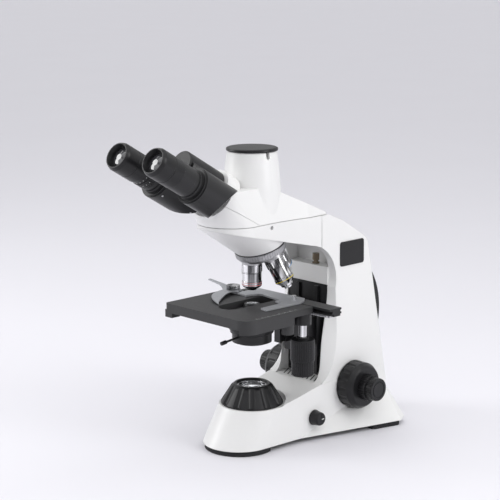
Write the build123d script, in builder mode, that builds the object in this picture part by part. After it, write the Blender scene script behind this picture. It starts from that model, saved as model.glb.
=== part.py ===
from build123d import *
import os
from math import atan2, cos, degrees, pi, radians, sin, sqrt, tan

os.makedirs("parts", exist_ok=True)

# The frame: X to the user's right, Y away from the user, Z up.
# The origin is where the optical axis meets the bench.

# Driving dimensions in millimetres
foot_height = 5.5
base_bottom = 7.0
nose_height = 55.0
deck_height = 299.0
tube_top = 388.6
arm_half_width = 45.5
arm_half_foot = 49.5
inner_half_width = 36.0
foot_loft_top = 80.0
beam_radius = 43.3
beam_nose = -80.0
head_rear = 96.0
arm_rear_foot = 221.0
stage_top_height = 190.5
stage_half_width = 75.0
stage_front = -84.0
eyepiece_slope = 30.0
eye_distance = 66.0
beam_centre_height = 314.1
eyepiece_drop = 25.5
turret_tilt = 19.5
objective_apex = 302.4
shoulder_distance = 61.4

# Clearances
running_fit = 0.06
body_gap = 0.3
seam_gap = 0.6
tooth_backlash = 0.15
root_depth = 1.2
tip_height = 0.85


def save(piece, name):
    """Label one finished sub-part and write it as parts/name.step."""
    piece.part.label = name
    export_step(piece.part, f"parts/{name}.step")


def turn(base, outline, mode=Mode.ADD):
    """Turn a closed (radius, height) outline about the normal of the base plane."""
    side = Plane(origin=base.origin, x_dir=base.x_dir, z_dir=-base.y_dir)
    with BuildSketch(side) as profile:
        with BuildLine():
            Polyline(*outline, close=True)
        make_face()
    revolve(profile.sketch, axis=Axis(base.origin, base.z_dir), mode=mode)


def ring(base, outer, inner, start, end, mode=Mode.ADD):
    """A round disc or ring between two heights above the base plane."""
    with BuildSketch(base.offset(start)) as section:
        Circle(outer)
        if inner > 0:
            Circle(inner, mode=Mode.SUBTRACT)
    extrude(section.sketch, amount=end - start, mode=mode)


def ribbed_disc(base, radius, depth, ribs, start, end):
    """A disc with a ring of half-round grooves, as on a knob's grip."""
    groove = pi * radius / ribs * 0.5
    with BuildSketch(base.offset(start)) as section:
        Circle(radius)
        with PolarLocations(radius + groove - depth, ribs):
            RegularPolygon(groove, 4, rotation=0, mode=Mode.SUBTRACT)
    extrude(section.sketch, amount=end - start)


def tooth(module):
    """Half widths of one gear tooth at its root and at its tip, with backlash taken off."""
    half = pi * module / 4 - tooth_backlash
    slope = tan(radians(20))
    return half + root_depth * module * slope, half - tip_height * module * slope


def toothed_wheel(base, module, teeth, start, end):
    """A spur pinion between two heights above the base plane, one tooth along its x direction."""
    root, tip = tooth(module)
    root_radius = module * (teeth / 2 - root_depth)
    rise = module * (root_depth + tip_height)
    with BuildSketch(base.offset(start)) as section:
        Circle(root_radius)
        with PolarLocations(root_radius, teeth):
            Polygon((-0.4, -root), (rise, -tip), (rise, tip), (-0.4, root), align=None)
    extrude(section.sketch, amount=end - start)


def toothed_bar(base, module, first, count, thickness):
    """A row of rack teeth along the base plane's x direction, with their pitch line on it."""
    root, tip = tooth(module)
    with BuildSketch(base) as section:
        with Locations(*[(first + k * pi * module, 0) for k in range(count)]):
            Polygon(
                (-root, -root_depth * module - 0.4), (root, -root_depth * module - 0.4),
                (root, -root_depth * module), (tip, tip_height * module),
                (-tip, tip_height * module), (-root, -root_depth * module), align=None,
            )
    extrude(section.sketch, amount=thickness)


def across(right, below, ahead):
    """Plane square to the eyepieces, ahead of the beam centre and below the swing axis."""
    slope = radians(eyepiece_slope)
    y = -ahead * cos(slope) - below * sin(slope)
    z = beam_centre_height + ahead * sin(slope) - below * cos(slope)
    return Plane(origin=(right, y, z), x_dir=(1, 0, 0), z_dir=(0, -cos(slope), sin(slope)))


# Focus drive: where the knobs' axis crosses the arm and how far the stage moves
focus_y = 142.0
focus_z = 62.0
lift_up = 4.0
lift_down = 20.0
gear_module = 1.0
focus_teeth = 28
sleeve_radius = 9.0
fine_shaft_radius = 4.5
knob_start = 50.4
coarse_radius = 32.0
coarse_face = 75.0
fine_radius = 17.5
fine_end = 97.0
focus_plane = Plane(origin=(0, focus_y, focus_z), x_dir=(0, 1, 0), z_dir=(1, 0, 0))
focus_pitch = gear_module * focus_teeth / 2

# The channel in the front of the arm, in which the carriage rides
channel_floor = 72.0
channel_top = 202.0
channel_back = 112.0
panel_thickness = 6.0
ledge_height = 226.0
ledge_front = 105.0
pocket_back = 124.0
pocket_top = 284.0
pocket_front = 26.0
rack_half_width = 4.5
rack_back = focus_y - focus_pitch
cavity_half_width = 12.0

# The beam's underside falls towards the arm
underside_height = 273.5
underside_y = 14.0
underside_slope = 0.23


def underside(y):
    """Height of the beam's underside above the bench at a distance y."""
    return underside_height - underside_slope * (y - underside_y)


# Rack on the carriage and the hollow that it moves in
rack_bottom = 50.0
rack_top = 165.0
rack_front = 115.0
web_bottom = 108.0
web_top = 165.0

# Head seat in the beam: a round dovetail held by a set screw from the right
dovetail_radius = 24.0
seat_floor = 292.0
light_path_radius = 10.0
lock_height = 293.6
lock_y = -4.5
lock_thread_radius = 2.5
lock_plane = Plane(origin=(0, lock_y, lock_height), x_dir=(0, 1, 0), z_dir=(1, 0, 0))

# Lamp in the nose of the foot
lamp_radius = 19.6
lamp_bottom = 30.0
lamp_top = 79.0
field_radius = 40.9
field_top_radius = 23.6
field_top = 81.5

# Power inlet, brightness knob, stop screw and base screws
inlet_plane = Plane(origin=(28, 214.5, 27), x_dir=(-1, 0, 0), z_dir=(0, 1, 0))
inlet_width = 28.0
inlet_height = 20.0
inlet_depth = 18.0
dimmer_face = 50.0
dimmer_radius = 10.5
dimmer_shaft_radius = 3.0
dimmer_plane = Plane(origin=(0, 67, 30), x_dir=(0, 1, 0), z_dir=(1, 0, 0))
stop_thread_radius = 2.0
stop_depth = 18.0
stop_plane = Plane(origin=(7.5, 113, ledge_height), x_dir=(1, 0, 0), z_dir=(0, 0, 1))
plate_screws = [(0, -45), (-38, 30), (38, 30), (-60, 184), (60, 184)]
screw_radius = 1.5
screw_length = 8.0

# Stand: one aluminium casting of foot, column and beam
column_lean = degrees(atan2(arm_half_foot - arm_half_width, deck_height - base_bottom))
cheek_plane = Plane(
    origin=(arm_half_width, 0, deck_height),
    x_dir=(0, 1, 0),
    z_dir=(cos(radians(column_lean)), 0, sin(radians(column_lean))),
)
back_top = (167, 262)
back_bend = (175, 250)
back_foot = (214, 50)
ramp_end = (79, 71.5)
roof_start = (97, deck_height)
roof_points = [(124, 288), (148, 273.5)]
beam_reach = (-95, deck_height)


def cheek_outline(drop, inset, throat, shin):
    """Side outline of one cheek: roof, back, and the curved front edge of the column."""
    with BuildLine() as outline:
        roof = Polyline(beam_reach, roof_start, *roof_points, (back_top[0] - inset, back_top[1]))
        corner = TangentArc(roof @ 1, (back_bend[0] - inset, back_bend[1]), tangent=roof % 1)
        Polyline(corner @ 1, (back_foot[0] - inset, back_foot[1]), (ramp_end[0], back_foot[1]),
            ramp_end)
        front = Spline(ramp_end, shin, throat, tangents=[(1, 0.35), (-0.02, 1)])
        arch = ThreePointArc(front @ 1, (96, 247), (66, underside(66)))
        Polyline(arch @ 1, (beam_reach[0], underside(beam_reach[0])), beam_reach)
    return outline.line.moved(Location((0, -drop, 0)))


def plan_outline(nose, radius, waist, rear, rear_width):
    """Half-open plan of the beam and head: round nose, narrow waist, straight rear."""
    centre = nose + radius
    with BuildLine() as outline:
        ThreePointArc((-radius, centre), (0, nose), (radius, centre))
        right = ThreePointArc((radius, centre), (waist, 7), (radius + 1, 60))
        Polyline(right @ 1, (rear_width, rear), (-rear_width, rear), (-radius - 1, 60))
        ThreePointArc((-radius - 1, 60), (-waist, 7), (-radius, centre))
    return outline.line


with BuildPart() as foot:
    # The foot's plan narrows upwards, and its top steps from the lamp's flat up the ramp
    with BuildSketch(Plane.XY.offset(base_bottom)):
        with BuildLine():
            ThreePointArc((-47, -24), (0, -71), (47, -24))
            Polyline((47, -24), (51, 42), (50, 85), (49.9, 205), (-49.9, 205), (-50, 85), (-51, 42),
                (-47, -24))
        make_face()
    with BuildSketch(Plane.XY.offset(foot_loft_top)):
        with BuildLine():
            ThreePointArc((-40.4, 11), (0, -29.4), (40.4, 11))
            Polyline((40.4, 11), (44.5, 45), (49.1, 85), (49.1, 205), (-49.1, 205), (-49.1, 85),
                (-44.5, 45), (-40.4, 11))
        make_face()
    loft(ruled=True)
    with BuildSketch(Plane.YZ):
        with BuildLine():
            Polyline(
                (-80, base_bottom), (-80, nose_height), (12, nose_height), (20, 57.5), (44, 63),
                ramp_end, (channel_back, channel_floor + 2), (205, 76), (205, base_bottom),
                (-80, base_bottom),
            )
        make_face()
    extrude(amount=70, both=True, mode=Mode.INTERSECT)

with BuildPart() as stand:
    # Cheeks: lofted from the channel's edge out to the drafted side of the arm
    with BuildSketch(Plane.YZ.offset(inner_half_width)):
        add(cheek_outline(0, 0, (105, 200), (93, 112)))
        make_face()
    with BuildSketch(cheek_plane):
        add(cheek_outline(deck_height, 0, (109.5, 200), (111, 122)))
        make_face()
    loft(ruled=True)
    mirror(about=Plane.YZ)
    # Web between the cheeks, with the channel and the pocket under the beam
    with BuildSketch(Plane.YZ):
        with BuildLine():
            roof = Polyline(beam_reach, roof_start, *roof_points, back_top)
            corner = TangentArc(roof @ 1, back_bend, tangent=roof % 1)
            Polyline(
                corner @ 1, back_foot, (ramp_end[0], back_foot[1]), ramp_end,
                (ramp_end[0], channel_floor), (channel_back, channel_floor + 2),
                (channel_back, channel_top), (ledge_front, channel_top),
                (ledge_front, ledge_height), (pocket_back, ledge_height),
                (pocket_back, pocket_top - 20), (pocket_back - 16, pocket_top),
                (pocket_front, pocket_top), (pocket_front, underside(pocket_front)),
                (beam_reach[0], underside(beam_reach[0])), beam_reach,
            )
        make_face()
    extrude(amount=inner_half_width, both=True)
    # The beam is trimmed to its plan: a round nose and a slight waist
    with BuildSketch(Plane.XY):
        add(plan_outline(beam_nose, beam_radius, 40.4, 84, 45))
        make_face()
        with Locations((0, 160)):
            Rectangle(140, 153)
    extrude(amount=deck_height + 1, mode=Mode.INTERSECT)
    add(foot.part)
    # Splayed rear foot
    with BuildSketch(Plane.XY.offset(base_bottom)):
        with BuildLine():
            Polyline((-84, 213), (-93.5, 195), (-51.4, 41.3), (51.4, 41.3), (93.5, 195), (84, 213))
            ThreePointArc((84, 213), (0, arm_rear_foot), (-84, 213))
        make_face()
    with BuildSketch(Plane.XY.offset(base_bottom + 42)):
        with BuildLine():
            Polyline((-47.5, 211), (-53.2, 205), (-11.5, 52.2), (11.5, 52.2), (53.2, 205), (47.5, 211))
            ThreePointArc((47.5, 211), (0, 214.5), (-47.5, 211))
        make_face()
    loft(ruled=True)
    # Seat for the head's dovetail, the light path through the beam and the lock screw's thread
    ring(Plane.XY, dovetail_radius + body_gap, 0, seat_floor, deck_height + 1, mode=Mode.SUBTRACT)
    ring(Plane.XY, light_path_radius, 0, 255, deck_height, mode=Mode.SUBTRACT)
    ring(lock_plane, lock_thread_radius + running_fit, 0, 20, arm_half_width, mode=Mode.SUBTRACT)
    # Lamp bore down from the flat of the foot, and the hollow behind the lamp's ring
    ring(Plane.XY, lamp_radius + running_fit, 0, lamp_bottom, field_top, mode=Mode.SUBTRACT)
    ring(Plane.XY, field_radius + 3.5, 0, nose_height, field_top + 10, mode=Mode.SUBTRACT)
    # Bore for the focus sleeve, the pinion's hollow and the rack's shaft up the column
    ring(focus_plane, sleeve_radius + running_fit, 0, -60, 60, mode=Mode.SUBTRACT)
    ring(focus_plane, focus_pitch + 4, 0, -cavity_half_width, cavity_half_width, mode=Mode.SUBTRACT)
    for end in (-knob_start, knob_start):
        ring(focus_plane, coarse_radius + 1.5, 0, end * 0.992, end * 1.5, mode=Mode.SUBTRACT)
    with BuildSketch(Plane.YZ):
        with Locations(((rack_front + rack_back) / 2, (rack_bottom + rack_top + lift_up - lift_down) / 2)):
            Rectangle(rack_back - rack_front + 4, rack_top - rack_bottom + lift_up + lift_down + 4)
        with Locations(((channel_back + rack_front) / 2, (web_bottom + web_top + lift_up - lift_down) / 2)):
            Rectangle(rack_front - channel_back + 4, web_top - web_bottom + lift_up + lift_down + 4)
    extrude(amount=rack_half_width + 1, both=True, mode=Mode.SUBTRACT)
    # Recess for the power inlet in the rear of the foot
    with BuildSketch(inlet_plane.offset(10)):
        Rectangle(inlet_width + 1, inlet_height + 1)
    extrude(amount=-10 - inlet_depth, mode=Mode.SUBTRACT)
    # Shaft hole for the brightness knob, and the thread of the stop screw
    ring(dimmer_plane, dimmer_shaft_radius + running_fit, 0, dimmer_face - 22, dimmer_face + 6,
        mode=Mode.SUBTRACT)
    ring(stop_plane, stop_thread_radius + running_fit, 0, -stop_depth, 1, mode=Mode.SUBTRACT)
    # Screw holes for the base plate
    with Locations(*[(x, y, base_bottom) for x, y in plate_screws]):
        Cylinder(screw_radius + running_fit, 2 * screw_length, mode=Mode.SUBTRACT)
save(stand, "stand")

# Base plate: sheet steel that closes the hollow foot from below
with BuildPart() as base_plate:
    with BuildSketch(Plane.XY.offset(foot_height)):
        with BuildLine():
            ThreePointArc((-44, -24), (0, -68), (44, -24))
            Polyline((44, -24), (48, 43), (89, 192), (82, 209), (-82, 209), (-89, 192), (-48, 43),
                (-44, -24))
        make_face()
        with Locations(*plate_screws):
            Circle(screw_radius + running_fit, mode=Mode.SUBTRACT)
    extrude(amount=base_bottom - foot_height)
save(base_plate, "base_plate")

# Base screws: five pan-head screws through the base plate into the casting
with BuildPart() as base_screws:
    with Locations(*[(x, y, foot_height) for x, y in plate_screws]):
        Cylinder(screw_radius * 2, 1.8, align=(Align.CENTER, Align.CENTER, Align.MAX))
        Cylinder(screw_radius, screw_length, align=(Align.CENTER, Align.CENTER, Align.MIN))
save(base_screws, "base_screws")

# Feet: a rubber crescent under the nose and a pad under each rear corner
with BuildPart() as feet:
    with BuildSketch(Plane.XY):
        with BuildLine():
            front = ThreePointArc((-44, -9), (0, -68.5), (44, -9))
            inner = ThreePointArc((31, -9), (0, -54), (-31, -9))
            Line(front @ 1, inner @ 0)
            Line(inner @ 1, front @ 0)
        make_face()
        with Locations(Location((78, 176, 0), (0, 0, -15.2)), Location((-78, 176, 0), (0, 0, 15.2))):
            RectangleRounded(15, 46, 5)
    extrude(amount=foot_height)
    chamfer(feet.faces().sort_by(Axis.Z)[0].edges(), 1)
save(feet, "feet")

# Name plate: a bare black plate stuck to the right side of the arm
with BuildPart() as nameplate:
    with BuildSketch(cheek_plane):
        with Locations((141.5, 242.5 - deck_height)):
            RectangleRounded(47, 33, 3.5)
    extrude(amount=1.0)
save(nameplate, "nameplate")

# Rear grip: a moulded crescent on the back of the arm, hollowed below for the fingers
grip_lean = atan2(back_foot[0] - back_bend[0], back_bend[1] - back_foot[1])
grip_height = 168.0
grip_y = back_bend[0] + (back_bend[1] - grip_height) * tan(grip_lean)
grip_side = Plane(
    origin=(0, grip_y, grip_height), x_dir=(0, cos(grip_lean), sin(grip_lean)), z_dir=(1, 0, 0)
)
with BuildPart() as rear_grip:
    with BuildSketch(grip_side):
        with BuildLine():
            Line((0, -57), (0, 57))
            ThreePointArc((0, 57), (19, 8), (0, -57))
        make_face()
    extrude(amount=36, both=True)
    with BuildSketch(grip_side):
        with BuildLine():
            Polyline((-1, -70), (11, -70), (11, -10), (7, -2), (-1, -2), close=True)
        make_face()
    extrude(amount=29, both=True, mode=Mode.SUBTRACT)
save(rear_grip, "rear_grip")

# Power inlet: a three-pin appliance socket in the rear of the foot
with BuildPart() as power_inlet:
    with BuildSketch(inlet_plane):
        Rectangle(inlet_width, inlet_height)
    extrude(amount=-inlet_depth)
    with BuildSketch(inlet_plane) as socket:
        Rectangle(24, 16)
        chamfer(socket.vertices().group_by(Axis.Y)[-1], 4)
    extrude(amount=-14, mode=Mode.SUBTRACT)
    with BuildSketch(inlet_plane.offset(-14)):
        with Locations((0, 2.5), (-7, -2), (7, -2)):
            Rectangle(2, 4)
    extrude(amount=10)
save(power_inlet, "power_inlet")

# Guide panel: the black cover on which the stage rides, with a slot for the carriage's web
with BuildPart() as guide_panel:
    with BuildSketch(Plane.XZ.offset(-channel_back)):
        with Locations((0, (channel_floor + 2.3 + channel_top - body_gap) / 2)):
            Rectangle(2 * (inner_half_width - body_gap), channel_top - body_gap - channel_floor - 2.3)
        with Locations((0, (web_bottom + web_top + lift_up - lift_down) / 2)):
            Rectangle(2 * rack_half_width + 2, web_top - web_bottom + lift_up + lift_down + 4,
                mode=Mode.SUBTRACT)
    extrude(amount=panel_thickness)
save(guide_panel, "guide_panel")

# Slide rails: two ground steel strips on the guide panel
rail_inner = 14.0
rail_outer = 20.0
rail_depth = 3.0
panel_front = channel_back - panel_thickness
with BuildPart() as slide_rails:
    with BuildSketch(Plane.XZ.offset(-panel_front)):
        with Locations((-(rail_inner + rail_outer) / 2, 138), ((rail_inner + rail_outer) / 2, 138)):
            Rectangle(rail_outer - rail_inner, 120)
    extrude(amount=rail_depth)
save(slide_rails, "slide_rails")

# Stop screw: a knurled screw on the ledge that limits how high the stage can go
with BuildPart() as stop_screw:
    ring(stop_plane, stop_thread_radius, 0, -stop_depth + 1, 2)
    ring(stop_plane, 5.0, 0, body_gap, 2)
    ring(stop_plane, 3.25, 0, 2, 5)
    ribbed_disc(stop_plane, 4.6, 0.4, 18, 5, 14)
save(stop_screw, "stop_screw")

# Head lock screw: a hexagon-socket set screw in the right side of the beam
with BuildPart() as head_lock_screw:
    ring(lock_plane, lock_thread_radius, 0, dovetail_radius + body_gap, 38.5)
    with BuildSketch(lock_plane.offset(38.5)):
        RegularPolygon(1.25, 6)
    extrude(amount=-3, mode=Mode.SUBTRACT)
save(head_lock_screw, "head_lock_screw")

# Focus drive: a hollow coarse sleeve with the pinion, and the fine shaft inside it
left_focus_plane = Plane(origin=focus_plane.origin, x_dir=(0, 1, 0), z_dir=(-1, 0, 0))
sleeve_reach = 60.0
left_shift = 16.0
with BuildPart() as coarse_sleeve:
    ring(focus_plane, sleeve_radius, 0, -sleeve_reach - left_shift, sleeve_reach)
    toothed_wheel(focus_plane, gear_module, focus_teeth, -6, 6)
    ring(focus_plane, fine_shaft_radius + running_fit, 0, -sleeve_reach - left_shift, sleeve_reach,
         mode=Mode.SUBTRACT)
save(coarse_sleeve, "coarse_sleeve")


def coarse_knob(base, name):
    """Coarse knob: moulded, with sixteen long flutes and a bevelled face."""
    bore = sleeve_radius + running_fit
    inner = fine_shaft_radius + running_fit
    with BuildPart() as knob:
        turn(base, [
            (bore, knob_start), (coarse_radius, knob_start), (coarse_radius - 0.5, 68), (28.5, 73),
            (26.5, coarse_face), (inner, coarse_face), (inner, sleeve_reach + 1), (bore, sleeve_reach + 1),
        ])
        with BuildSketch(base.offset(52)) as flutes:
            with PolarLocations(coarse_radius + 3.3, 16):
                Circle(4.5)
        extrude(flutes.sketch, amount=14, mode=Mode.SUBTRACT)
    save(knob, name)


coarse_knob(focus_plane, "coarse_knob_right")
coarse_knob(left_focus_plane.offset(left_shift), "coarse_knob_left")

# Tension ring: turned to set how stiffly the coarse knobs move
with BuildPart() as tension_ring:
    ribbed_disc(left_focus_plane, 25, 0.7, 40, knob_start + 2, knob_start + left_shift - seam_gap)
    ring(left_focus_plane, 24, 0, knob_start, knob_start + 2)
    ring(left_focus_plane, sleeve_radius + running_fit, 0, knob_start, knob_start + left_shift,
        mode=Mode.SUBTRACT)
save(tension_ring, "tension_ring")

with BuildPart() as fine_shaft:
    ring(focus_plane, fine_shaft_radius, 0, -fine_end - left_shift + 4, fine_end - 4)
save(fine_shaft, "fine_shaft")


def fine_knob(base, name):
    """Fine knob: two ribbed steps on the fine shaft, with a recessed disc in its face."""
    start = coarse_face + body_gap
    with BuildPart() as knob:
        ribbed_disc(base, fine_radius, 0.6, 30, start, 86)
        ribbed_disc(base, fine_radius - 2, 0.6, 28, 86, fine_end - 1.5)
        ring(base, fine_radius - 2.4, 0, fine_end - 1.5, fine_end)
        ring(base, 11.5, 10.2, fine_end - 1, fine_end, mode=Mode.SUBTRACT)
        ring(base, fine_shaft_radius, 0, start, fine_end - 4, mode=Mode.SUBTRACT)
    save(knob, name)


fine_knob(focus_plane, "fine_knob_right")
fine_knob(left_focus_plane.offset(left_shift), "fine_knob_left")

# Brightness knob: tapered, with a pointer groove, on the dimmer's shaft
with BuildPart() as brightness_knob:
    turn(dimmer_plane, [
        (0, dimmer_face), (dimmer_radius, dimmer_face), (dimmer_radius - 0.8, dimmer_face + 4),
        (dimmer_radius - 1.6, dimmer_face + 11), (dimmer_radius - 2.8, dimmer_face + 13),
        (0, dimmer_face + 13),
    ])
    ring(dimmer_plane, dimmer_shaft_radius, 0, dimmer_face - 20, dimmer_face)
    with BuildSketch(dimmer_plane.offset(dimmer_face + 12.2)):
        with Locations((0, 4.5)):
            Rectangle(1, 7)
    extrude(amount=2, mode=Mode.SUBTRACT)
save(brightness_knob, "brightness_knob")

# Lamp: a sleeve in the foot's nose with the light-emitting chip on its heat sink
with BuildPart() as lamp:
    ring(Plane.XY, lamp_radius, 0, lamp_bottom, lamp_bottom + 8)
    ring(Plane.XY, lamp_radius, 17.7, lamp_bottom + 8, lamp_top)
    ring(Plane.XY, 8, 0, lamp_bottom + 8, lamp_bottom + 12)
    ring(Plane.XY, 3, 0, lamp_bottom + 12, lamp_bottom + 13.5)
save(lamp, "lamp")

with BuildPart() as collector_lens:
    turn(Plane.XY, [(0, 70), (17.6, 70), (17.6, 73), (13, 76), (7, 78), (0, 78.8)])
save(collector_lens, "collector_lens")

# Field ring: the scalloped black cone that turns round the lamp
scallop_tilt = degrees(atan2(45.4 - 36.1, 73 - 57))
with BuildPart() as field_ring:
    bottom = nose_height + body_gap
    bore = lamp_radius + body_gap
    turn(Plane.XY, [
        (bore, bottom), (field_radius, bottom), (field_radius, bottom + 1.7), (39.2, 60), (27.5, 78.5),
        (field_top_radius, field_top), (bore + 1.2, field_top), (bore, field_top - 1.2),
    ])
    for k in range(12):
        angle = radians(k * 30 + 15)
        scallop = Plane(
            origin=(45.4 * cos(angle), 45.4 * sin(angle), bottom + 1.7),
            x_dir=(-sin(angle), cos(angle), 0),
            z_dir=(-sin(radians(scallop_tilt)) * cos(angle), -sin(radians(scallop_tilt)) * sin(angle),
                   cos(radians(scallop_tilt))),
        )
        ring(scallop, 6.5, 0, 0, 30, mode=Mode.SUBTRACT)
    ring(Plane.XY, field_radius, bore, bottom, bottom + 1.7)
save(field_ring, "field_ring")

# Focus carriage: slides on the rails and carries the stage and the condenser
carriage_half = 30.0
carriage_front = 92.0
carriage_bottom = 105.0
stage_base_bottom = 168.0
stage_base_top = 176.5
carriage_back = panel_front - body_gap - 0.3
jaw_front = 66.0
jaw_inner = 13.2
jaw_outer = 24.0
jaw_bottom = 120.0
condenser_shaft_radius = 2.5
condenser_teeth = 12
condenser_module = 0.8
condenser_pitch = condenser_module * condenser_teeth / 2
condenser_knob_plane = Plane(origin=(0, 82, 150), x_dir=(0, 1, 0), z_dir=(-1, 0, 0))
tongue_half = 16.0
tongue_front = 70.0
tongue_back = 76.0
with BuildPart() as stage_carriage:
    with BuildSketch(Plane.XY.offset(carriage_bottom)):
        with Locations((0, (carriage_front + carriage_back) / 2)):
            Rectangle(2 * carriage_half, carriage_back - carriage_front)
        for side in (-1, 1):
            with Locations((side * (rail_inner + rail_outer) / 2, panel_front)):
                Rectangle(
                    rail_outer - rail_inner + 2 * body_gap, 2 * (rail_depth + body_gap), mode=Mode.SUBTRACT
                )
    extrude(amount=stage_base_bottom - carriage_bottom)
    # Two jaws in front of the slide, grooved for the condenser's tongue
    with BuildSketch(Plane.XY.offset(jaw_bottom)):
        for side in (-1, 1):
            with Locations((side * (jaw_inner + jaw_outer) / 2, (jaw_front + carriage_front + 1) / 2)):
                Rectangle(jaw_outer - jaw_inner, carriage_front + 1 - jaw_front)
        with Locations((0, (tongue_front + tongue_back) / 2)):
            Rectangle(2 * (tongue_half + body_gap), tongue_back - tongue_front + 2 * body_gap,
                mode=Mode.SUBTRACT)
    extrude(amount=stage_base_bottom - jaw_bottom)
    ring(condenser_knob_plane, condenser_shaft_radius + running_fit, 0, -jaw_outer - 1, jaw_outer + 1,
         mode=Mode.SUBTRACT)
save(stage_carriage, "stage_carriage")

# Focus rack: bolted to the back of the carriage and driven by the coarse pinion
with BuildPart() as focus_rack:
    with BuildSketch(Plane.XY.offset(rack_bottom)):
        with Locations((0, (rack_front + rack_back - root_depth * gear_module) / 2)):
            Rectangle(2 * rack_half_width, rack_back - root_depth * gear_module - rack_front)
    extrude(amount=rack_top - rack_bottom)
    with BuildSketch(Plane.XY.offset(web_bottom)):
        with Locations((0, (carriage_back + rack_front) / 2)):
            Rectangle(2 * rack_half_width, rack_front - carriage_back)
    extrude(amount=web_top - web_bottom)
    rack_face = Plane(origin=(-rack_half_width, rack_back, focus_z), x_dir=(0, 0, -1), z_dir=(1, 0, 0))
    tooth_pitch = pi * gear_module
    below = int((focus_z - rack_bottom - 2) / tooth_pitch)
    above = int((rack_top - focus_z - 2) / tooth_pitch)
    toothed_bar(rack_face, gear_module, (0.5 - above) * tooth_pitch, above + below, 2 * rack_half_width)
save(focus_rack, "focus_rack")

# Stage base: the lower plate, with ball rails for the top and a rack on its right edge
base_half = 49.0
base_wide = 58.0
base_front = -50.0
base_rear = 98.0
drive_x = 58.0
drive_y = 35.0
drive_teeth = 14
drive_pitch = gear_module * drive_teeth / 2
rail_width = 6.0
rail_top = 181.8
y_rack_bottom = 169.0
y_rack_top = 175.0
y_rack_front = 5.0
y_rack_back = 70.0
with BuildPart() as stage_base:
    with BuildSketch(Plane.XY.offset(stage_base_bottom)):
        with BuildLine():
            Polyline(
                (-base_wide, base_front), (base_wide, base_front), (base_wide, 3), (base_half, 3),
                (base_half, 80), (34, base_rear), (-34, base_rear), (-base_half, 80), (-base_half, 3),
                (-base_wide, 3), close=True,
            )
        make_face()
        Circle(25, mode=Mode.SUBTRACT)
    extrude(amount=stage_base_top - stage_base_bottom)
    with BuildSketch(Plane.XY.offset(stage_base_top)):
        with Locations((-base_wide + rail_width / 2, (base_front + 2) / 2),
            (base_wide - rail_width / 2, (base_front + 2) / 2)):
            Rectangle(rail_width, 2 - base_front)
    extrude(amount=rail_top - stage_base_top)
    y_rack_pitch = drive_x - drive_pitch
    y_rack_face = Plane(origin=(y_rack_pitch, drive_y, y_rack_bottom), x_dir=(0, -1, 0), z_dir=(0, 0, 1))
    with BuildSketch(Plane.XY.offset(y_rack_bottom)):
        with Locations(((base_half + y_rack_pitch - root_depth) / 2, (y_rack_front + y_rack_back) / 2)):
            Rectangle(y_rack_pitch - root_depth * gear_module - base_half + 0.2, y_rack_back - y_rack_front)
    extrude(amount=y_rack_top - y_rack_bottom)
    teeth_front = int((drive_y - y_rack_front - 2) / tooth_pitch)
    teeth_back = int((y_rack_back - drive_y - 2) / tooth_pitch)
    toothed_bar(y_rack_face, gear_module, (0.5 - teeth_back) * tooth_pitch, teeth_back + teeth_front,
                y_rack_top - y_rack_bottom)
save(stage_base, "stage_base")

# Stage top: the square plate with its turned-down front, side skirts and slotted aperture
plate_bottom = rail_top + body_gap - 0.1
skirt_bottom = 172.0
skirt_inner = 62.0
skirt_rear = 2.0
wall_bottom = 178.0
plate_rear = 36.0
tongue_top_rear = 41.0
tongue_low = 184.5
tongue_high = 188.0
aperture_left = -14.0
aperture_right = 16.0
aperture_front = -55.0
aperture_back = 34.0
stage_corner = 17.0
with BuildPart() as stage_top:
    plate_centre = (stage_front + plate_rear) / 2
    with BuildSketch(Plane.XY.offset(plate_bottom)) as plate:
        with Locations((0, plate_centre)):
            Rectangle(2 * stage_half_width, plate_rear - stage_front)
        fillet(plate.vertices().sort_by(SortBy.DISTANCE)[-2:], 4)
    extrude(amount=stage_top_height - plate_bottom)
    with BuildSketch(Plane.XY.offset(skirt_bottom)):
        for side in (-1, 1):
            with Locations((side * (stage_half_width + skirt_inner) / 2, (stage_front + skirt_rear) / 2)):
                Rectangle(stage_half_width - skirt_inner, skirt_rear - stage_front)
    extrude(amount=plate_bottom - skirt_bottom)
    with BuildSketch(Plane.XY.offset(wall_bottom)):
        with Locations((0, stage_front + 3)):
            Rectangle(2 * stage_half_width, 6)
    extrude(amount=plate_bottom - wall_bottom)
    fillet(stage_top.edges().filter_by(Axis.Z).group_by(Axis.Y)[0].sort_by(Axis.X)[-1], stage_corner)
    # Notch under the left skirt, so that only its front end hangs down in full
    with BuildSketch(Plane.YZ.offset(-stage_half_width - 1)):
        with BuildLine():
            Polyline((-70, skirt_bottom - 1), (-70, 177), (-63, 179), (skirt_rear + 1, 179),
                     (skirt_rear + 1, skirt_bottom - 1), close=True)
        make_face()
    extrude(amount=stage_half_width - skirt_inner + 2, mode=Mode.SUBTRACT)
    # Aperture for the condenser, the length of the slide's travel
    with BuildSketch(Plane.XY.offset(plate_bottom - 1)):
        with Locations(((aperture_left + aperture_right) / 2, (aperture_front + aperture_back) / 2)):
            SlotOverall(aperture_back - aperture_front, aperture_right - aperture_left, rotation=90)
    extrude(amount=stage_top_height - plate_bottom + 2, mode=Mode.SUBTRACT)
    # Boss at the end of the right skirt, and the tongue on which the slide holder runs
    with BuildSketch(Plane.XY.offset(160)):
        with Locations((stage_half_width - 8, skirt_rear - 4.5)):
            Circle(8)
    extrude(amount=plate_bottom - 160)
    with BuildSketch(Plane.XY.offset(tongue_low)):
        with Locations((0, (plate_rear + tongue_top_rear - 1) / 2)):
            Rectangle(2 * stage_half_width - 4, tongue_top_rear - plate_rear + 1)
    extrude(amount=tongue_high - tongue_low)
save(stage_top, "stage_top")

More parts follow.
